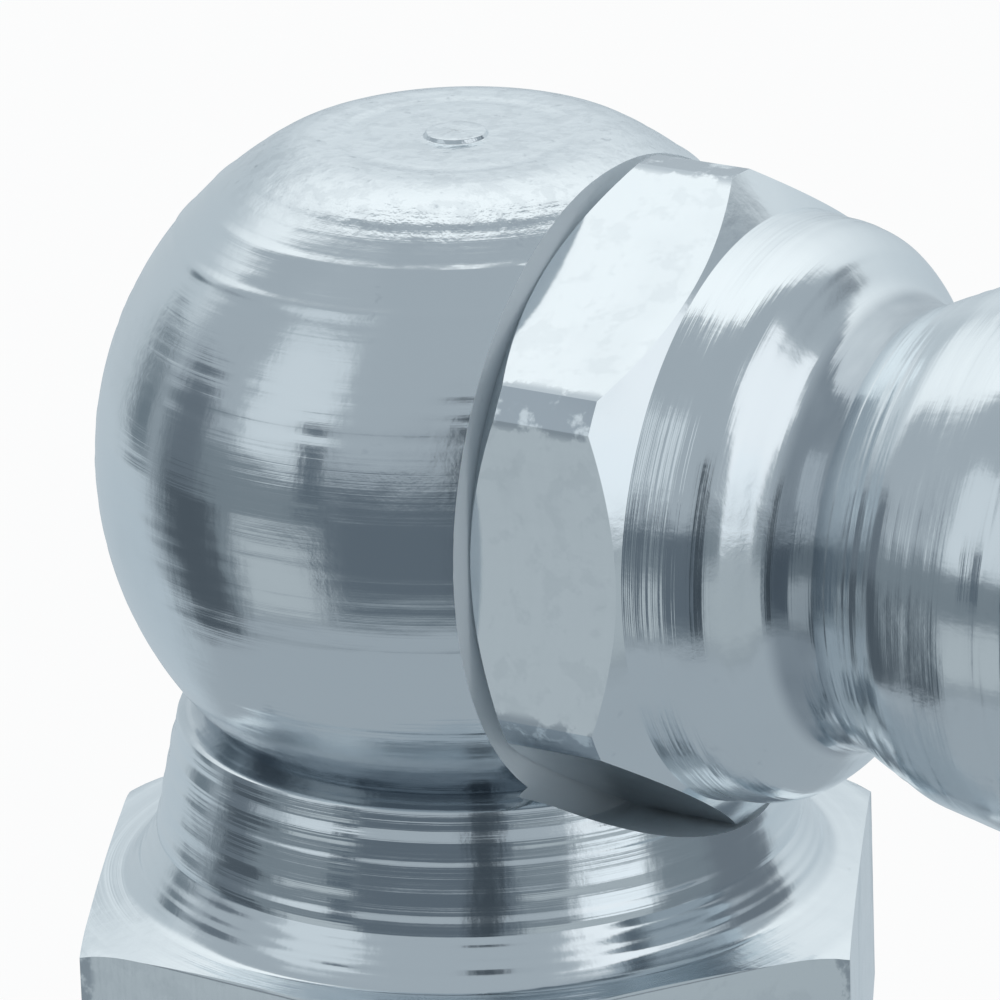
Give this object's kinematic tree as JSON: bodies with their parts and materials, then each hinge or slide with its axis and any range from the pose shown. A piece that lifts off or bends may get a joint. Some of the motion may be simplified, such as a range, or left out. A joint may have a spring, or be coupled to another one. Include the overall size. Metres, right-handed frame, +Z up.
{
  "type": "angled grease nipple",
  "caption": "Right-angle grease nipple: ball-shaped steel body on a hexagon and threaded shank, with a pressed-in side nipple that holds a sprung check ball.",
  "frame": {"origin": "on the threaded shank's axis, in the seat plane under the base hexagon", "axes": "+Z up along the shank axis through the ball, +X out along the side nipple, level with the seat plane"},
  "size_m": [0.0163, 0.0094, 0.0177],
  "materials": {
    "body_plating": "turned steel, bright blue-white zinc plated",
    "insert_plating": "turned steel, bright blue-white zinc plated",
    "bearing_steel": "polished hardened steel",
    "spring_steel": "bright drawn spring wire"
  },
  "bodies": {
    "fitting": {"elbow_body": "body_plating", "nipple_insert": "insert_plating", "valve_spring": "spring_steel"},
    "valve": {"check_ball": "bearing_steel"}
  },
  "joints": [
    {"name": "check_ball_slide", "type": "slide", "parent": "fitting", "child": "valve", "axis": [-1, 0, 0], "range_m": [0, 0.0015], "stiffness_N_per_m": 300, "springref_m": -0.004, "deforming": ["valve_spring"]}
  ]
}
